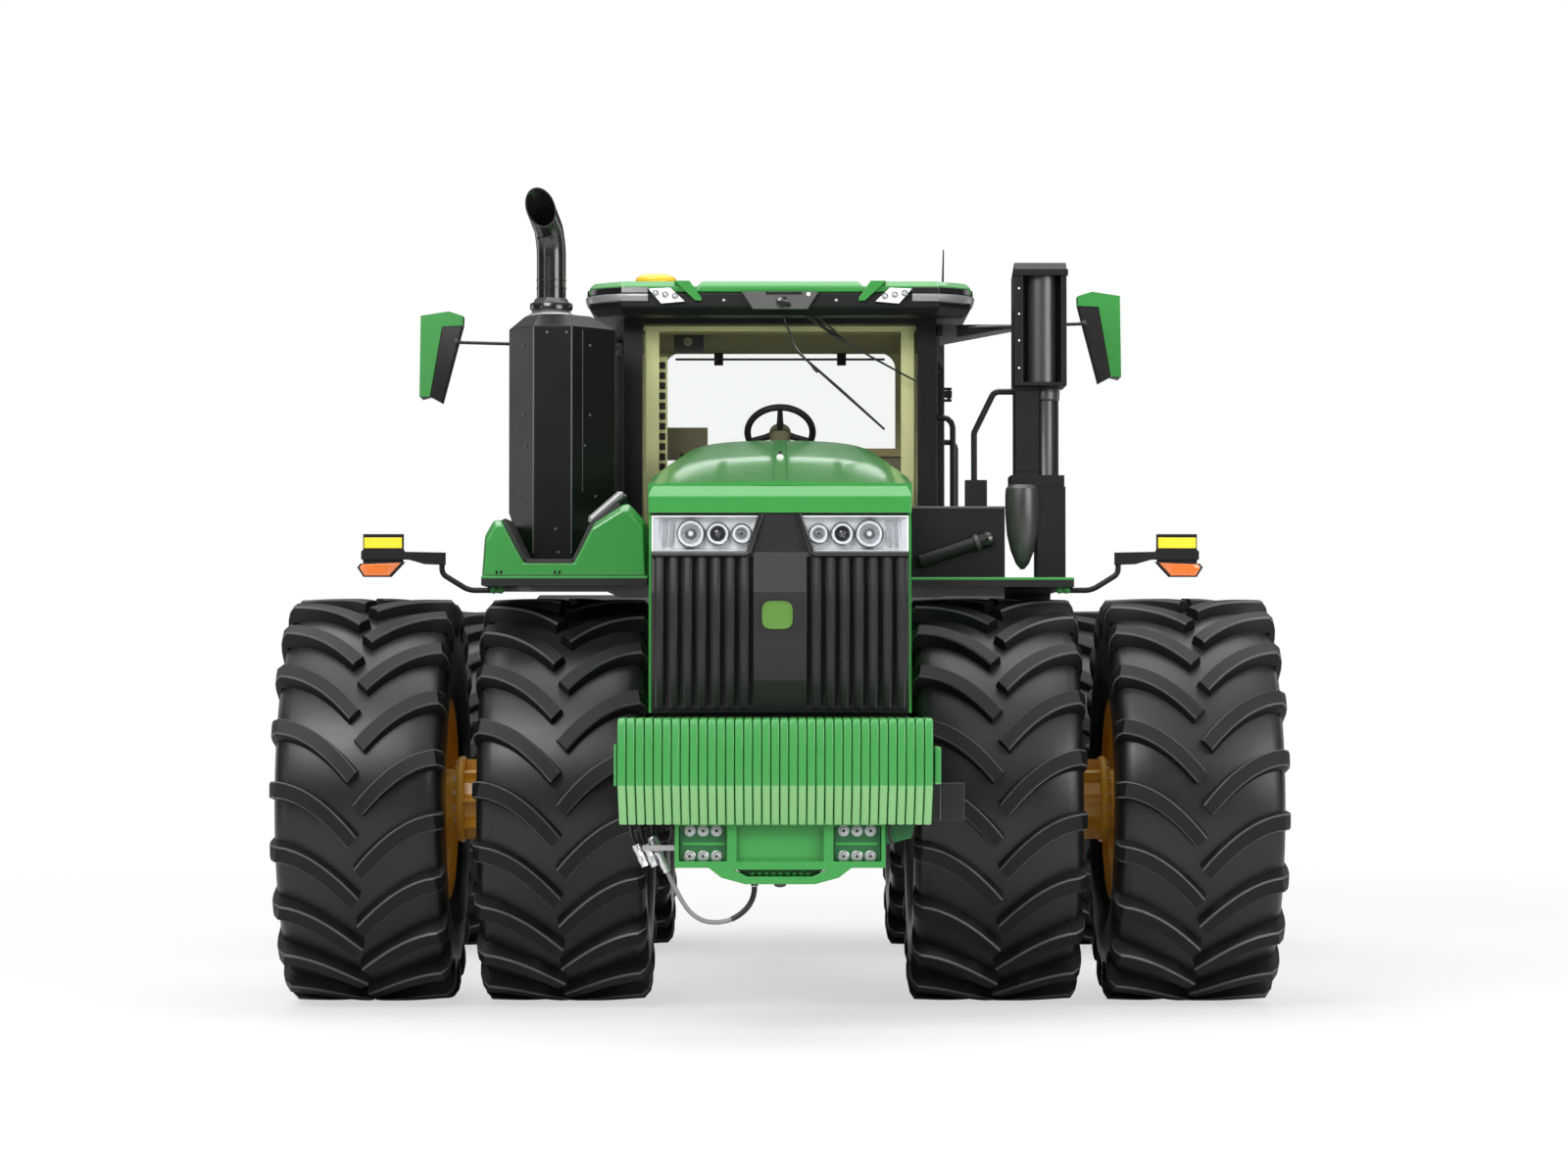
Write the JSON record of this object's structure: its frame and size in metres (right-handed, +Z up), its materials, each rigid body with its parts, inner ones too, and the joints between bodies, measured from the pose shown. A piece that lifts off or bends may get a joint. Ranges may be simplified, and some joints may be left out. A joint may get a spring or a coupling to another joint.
{
  "type": "articulated four-wheel-drive farm tractor",
  "caption": "Large articulated farm tractor on dual wheels, with a sloping hood that lifts, a glazed cab with a door, front weights, steering cylinders and a rear drawbar.",
  "frame": {"origin": "on the ground, on the centreline, halfway along the tractor's length", "axes": "+X to the tractor's left, front towards -Y, +Z up"},
  "size_m": [4.996, 7.862, 4.2244],
  "materials": {
    "green_paint": "gloss green paint",
    "black_paint": "satin black paint",
    "yellow_paint": "gloss yellow paint",
    "dark_plastic": "fine grained black plastic",
    "green_plastic": "gloss green plastic",
    "yellow_plastic": "gloss yellow plastic",
    "tyre": "matt black rubber",
    "cast_iron": "painted casting",
    "steel": "bright steel",
    "chrome": "polished",
    "lamp_glass": "clear lens",
    "window_glass": "clear safety glass",
    "seat_fabric": "woven seat cloth",
    "interior_plastic": "fine grained beige plastic",
    "amber_plastic": "clear amber plastic",
    "red_plastic": "clear red plastic",
    "hose_rubber": "black hydraulic hose"
  },
  "bodies": {
    "front": {"front_frame": "black_paint", "pivot_bulkhead": "black_paint", "front_axle": "cast_iron", "engine": "cast_iron", "transmission": "cast_iron", "weight_bracket": "green_paint", "front_weights": "green_paint", "lower_grille": "black_paint", "firewall": "black_paint", "right_cowl": "green_plastic", "battery_box": "black_paint", "cab_deck": "black_paint", "exhaust_box": "black_paint", "exhaust_pipe": "chrome", "air_intake": "dark_plastic", "cab_frame": "black_paint", "cab_roof": "green_plastic", "cab_glass": "window_glass", "roof_lamps": "lamp_glass", "operator_seat": "seat_fabric", "steering_column": "interior_plastic", "side_console": "interior_plastic", "mirrors": "green_plastic", "gps_receiver": "yellow_plastic", "handrails": "black_paint", "steps": "black_paint", "marker_arms": "amber_plastic", "front_hose": "hose_rubber", "hose_couplers": "steel", "roof_base": "dark_plastic"},
    "hood": {"hood_shell": "green_paint", "grille": "dark_plastic", "headlamps": "lamp_glass", "nose_panel": "green_plastic", "side_screens": "dark_plastic"},
    "door": {"door_frame": "black_paint", "door_glass": "window_glass"},
    "yoke": {"articulation_yoke": "cast_iron"},
    "rear": {"rear_frame": "black_paint", "rear_axle": "cast_iron", "drawbar_hanger": "black_paint", "drawbar": "cast_iron", "fuel_tank": "green_paint", "rear_fenders": "dark_plastic", "hydraulic_couplers": "steel", "tail_lamps": "red_plastic"},
    "left_barrel": {"left_steering_barrel": "black_paint"},
    "left_rod": {"left_steering_rod": "steel"},
    "right_barrel": {"right_steering_barrel": "black_paint"},
    "right_rod": {"right_steering_rod": "steel"},
    "front_left_wheels": {"front_left_tyres": "tyre", "front_left_rims": "yellow_paint"},
    "front_right_wheels": {"front_right_tyres": "tyre", "front_right_rims": "yellow_paint"},
    "rear_left_wheels": {"rear_left_tyres": "tyre", "rear_left_rims": "yellow_paint"},
    "rear_right_wheels": {"rear_right_tyres": "tyre", "rear_right_rims": "yellow_paint"}
  },
  "joints": [
    {"name": "articulation", "type": "hinge", "parent": "front", "child": "yoke", "pos_m": [0, 0.375, 1.035], "axis": [0, 0, 1], "range_deg": [-36, 36]},
    {"name": "oscillation", "type": "hinge", "parent": "yoke", "child": "rear", "pos_m": [0, 0.835, 1.035], "axis": [0, 1, 0], "range_deg": [-10, 10]},
    {"name": "hood_lift", "type": "hinge", "parent": "front", "child": "hood", "pos_m": [0, -1.181, 2.78], "axis": [-1, 0, 0], "range_deg": [0, 40]},
    {"name": "cab_door", "type": "hinge", "parent": "front", "child": "door", "pos_m": [0.955, 0.209, 2.84], "axis": [0, 0, 1], "range_deg": [0, 80]},
    {"name": "left_cylinder_swing", "type": "hinge", "parent": "front", "child": "left_barrel", "pos_m": [0.28, -0.625, 1.035], "axis": [0, 0, 1], "range_deg": [-6, 6]},
    {"name": "left_cylinder_stroke", "type": "slide", "parent": "left_barrel", "child": "left_rod", "axis": [0.0179, 0.9998, 0], "range_m": [-0.18, 0.18]},
    {"name": "right_cylinder_swing", "type": "hinge", "parent": "front", "child": "right_barrel", "pos_m": [-0.28, -0.625, 1.035], "axis": [0, 0, 1], "range_deg": [-6, 6]},
    {"name": "right_cylinder_stroke", "type": "slide", "parent": "right_barrel", "child": "right_rod", "axis": [-0.0179, 0.9998, 0], "range_m": [-0.18, 0.18]},
    {"name": "front_left_spin", "type": "hinge", "parent": "front", "child": "front_left_wheels", "pos_m": [1.5825, -1.581, 1.035], "axis": [1, 0, 0], "continuous": true},
    {"name": "front_right_spin", "type": "hinge", "parent": "front", "child": "front_right_wheels", "pos_m": [-1.5825, -1.581, 1.035], "axis": [1, 0, 0], "continuous": true},
    {"name": "rear_left_spin", "type": "hinge", "parent": "rear", "child": "rear_left_wheels", "pos_m": [1.5825, 2.331, 1.035], "axis": [1, 0, 0], "continuous": true},
    {"name": "rear_right_spin", "type": "hinge", "parent": "rear", "child": "rear_right_wheels", "pos_m": [-1.5825, 2.331, 1.035], "axis": [1, 0, 0], "continuous": true}
  ],
  "couplings": [
    {"joint": "left_cylinder_swing", "follows": "articulation", "ratio": 0.0959},
    {"joint": "right_cylinder_swing", "follows": "articulation", "ratio": 0.0959},
    {"joint": "left_cylinder_stroke", "follows": "articulation", "m_per_rad": 0.2838},
    {"joint": "right_cylinder_stroke", "follows": "articulation", "m_per_rad": -0.2838}
  ]
}
